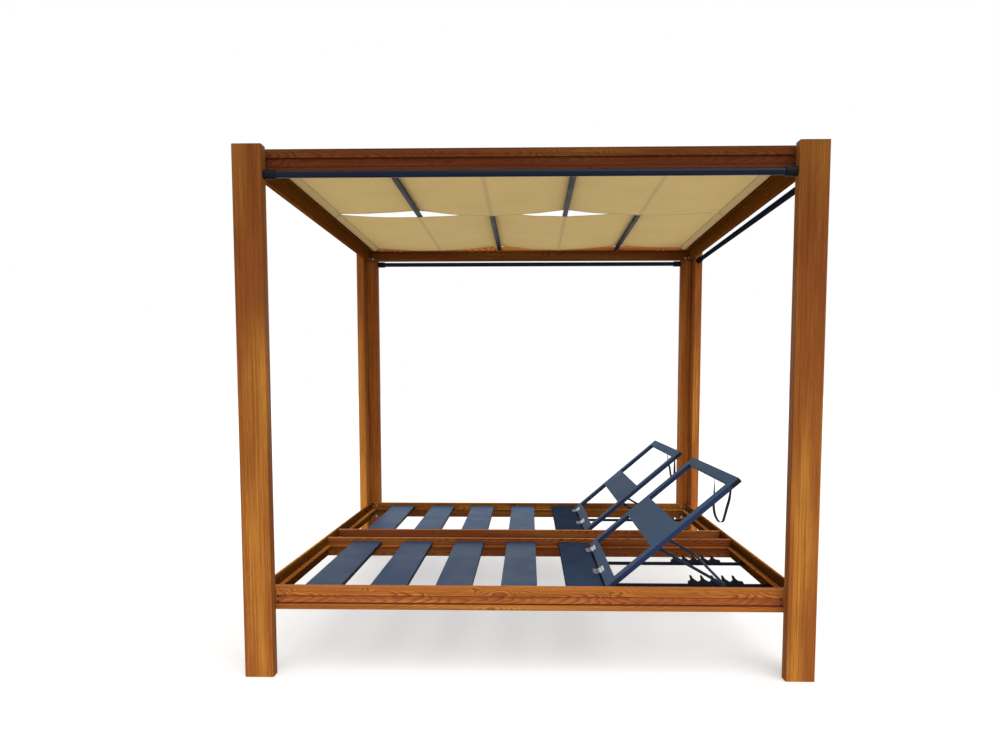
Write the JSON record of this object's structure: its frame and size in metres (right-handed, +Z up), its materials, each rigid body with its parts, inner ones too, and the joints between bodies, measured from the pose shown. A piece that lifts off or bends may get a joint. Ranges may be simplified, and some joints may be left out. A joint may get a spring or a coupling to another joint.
{
  "type": "outdoor daybed with canopy",
  "caption": "Wood-look double daybed for a porch or patio, with slatted bays, tilting backrests on toothed racks and a canopy of woven fabric strips on corner posts.",
  "frame": {"origin": "On the floor, at the middle of the rectangle that the outer faces of the corner posts make.", "axes": "+X from the foot end to the head end, where the backrests are; +Y from the front side to the rear side; +Z up."},
  "size_m": [2.1, 2, 1.93],
  "materials": {
    "wood_look": "printed wood grain on extruded aluminium, satin",
    "slate": "slate blue powder coat, satin",
    "dark_metal": "near-black powder coat, satin",
    "prop_steel": "near-black coat, satin",
    "black_plastic": "black, matt",
    "steel": "bright stainless",
    "webbing": "woven black webbing",
    "canopy_fabric": "tan outdoor mesh weave"
  },
  "bodies": {
    "frame": {"post_front_left": "wood_look", "post_rear_left": "wood_look", "post_front_right": "wood_look", "post_rear_right": "wood_look", "bed_rail_front": "wood_look", "bed_rail_rear": "wood_look", "bed_rail_left": "wood_look", "bed_rail_right": "wood_look", "canopy_beam_front": "wood_look", "canopy_beam_rear": "wood_look", "canopy_beam_left": "wood_look", "canopy_beam_right": "wood_look", "middle_rail_front": "wood_look", "middle_rail_rear": "wood_look", "slat_front_1": "slate", "slat_front_2": "slate", "slat_front_3": "slate", "slat_front_4": "slate", "hinge_slat_front": "slate", "slat_rear_1": "slate", "slat_rear_2": "slate", "slat_rear_3": "slate", "slat_rear_4": "slate", "hinge_slat_rear": "slate", "hinge_fixed_leaf_front_near": "steel", "hinge_fixed_leaf_front_far": "steel", "hinge_fixed_leaf_rear_near": "steel", "hinge_fixed_leaf_rear_far": "steel", "rack_bar_front_near": "dark_metal", "rack_bar_front_far": "dark_metal", "rack_bar_rear_near": "dark_metal", "rack_bar_rear_far": "dark_metal", "rack_front_near": "black_plastic", "rack_front_far": "black_plastic", "rack_rear_near": "black_plastic", "rack_rear_far": "black_plastic", "canopy_rod_1": "dark_metal", "canopy_rod_2": "dark_metal", "canopy_rod_3": "dark_metal", "canopy_rod_4": "dark_metal", "hem_rod_left": "dark_metal", "hem_rod_right": "dark_metal", "fabric_strip_front": "canopy_fabric", "fabric_strip_rear": "canopy_fabric", "curtain_rod_front": "dark_metal", "curtain_rod_rear": "dark_metal", "curtain_rod_right": "dark_metal"},
    "backrest_front": {"backrest_frame_front": "slate", "hinge_moving_leaf_front_near": "steel", "hinge_moving_leaf_front_far": "steel"},
    "backrest_rear": {"backrest_frame_rear": "slate", "hinge_moving_leaf_rear_near": "steel", "hinge_moving_leaf_rear_far": "steel"},
    "prop_front": {"prop_rod_front": "prop_steel"},
    "prop_rear": {"prop_rod_rear": "prop_steel"},
    "strap_front": {"pull_strap_front": "webbing"},
    "strap_rear": {"pull_strap_rear": "webbing"}
  },
  "joints": [
    {"name": "backrest_front_tilt", "type": "hinge", "parent": "frame", "child": "backrest_front", "pos_m": [0.292, -0.5215, 0.3176], "axis": [0, -1, 0], "range_deg": [0, 22]},
    {"name": "backrest_rear_tilt", "type": "hinge", "parent": "frame", "child": "backrest_rear", "pos_m": [0.292, 0.5215, 0.3176], "axis": [0, -1, 0], "range_deg": [0, 22]},
    {"name": "prop_front_swing", "type": "hinge", "parent": "backrest_front", "child": "prop_front", "pos_m": [0.50504, -0.5215, 0.44695], "axis": [0, -1, 0], "range_deg": [-24.5, 0]},
    {"name": "prop_rear_swing", "type": "hinge", "parent": "backrest_rear", "child": "prop_rear", "pos_m": [0.50504, 0.5215, 0.44695], "axis": [0, -1, 0], "range_deg": [-24.5, 0]},
    {"name": "strap_front_swing", "type": "hinge", "parent": "backrest_front", "child": "strap_front", "pos_m": [0.78299, -0.5215, 0.70893], "axis": [0, -1, 0], "range_deg": [-22.5, 0]},
    {"name": "strap_rear_swing", "type": "hinge", "parent": "backrest_rear", "child": "strap_rear", "pos_m": [0.78299, 0.5215, 0.70893], "axis": [0, -1, 0], "range_deg": [-22.5, 0]}
  ],
  "couplings": [
    {"joint": "prop_front_swing", "follows": "backrest_front_tilt", "ratio": -1.1},
    {"joint": "prop_rear_swing", "follows": "backrest_rear_tilt", "ratio": -1.1},
    {"joint": "strap_front_swing", "follows": "backrest_front_tilt", "ratio": -1},
    {"joint": "strap_rear_swing", "follows": "backrest_rear_tilt", "ratio": -1}
  ]
}
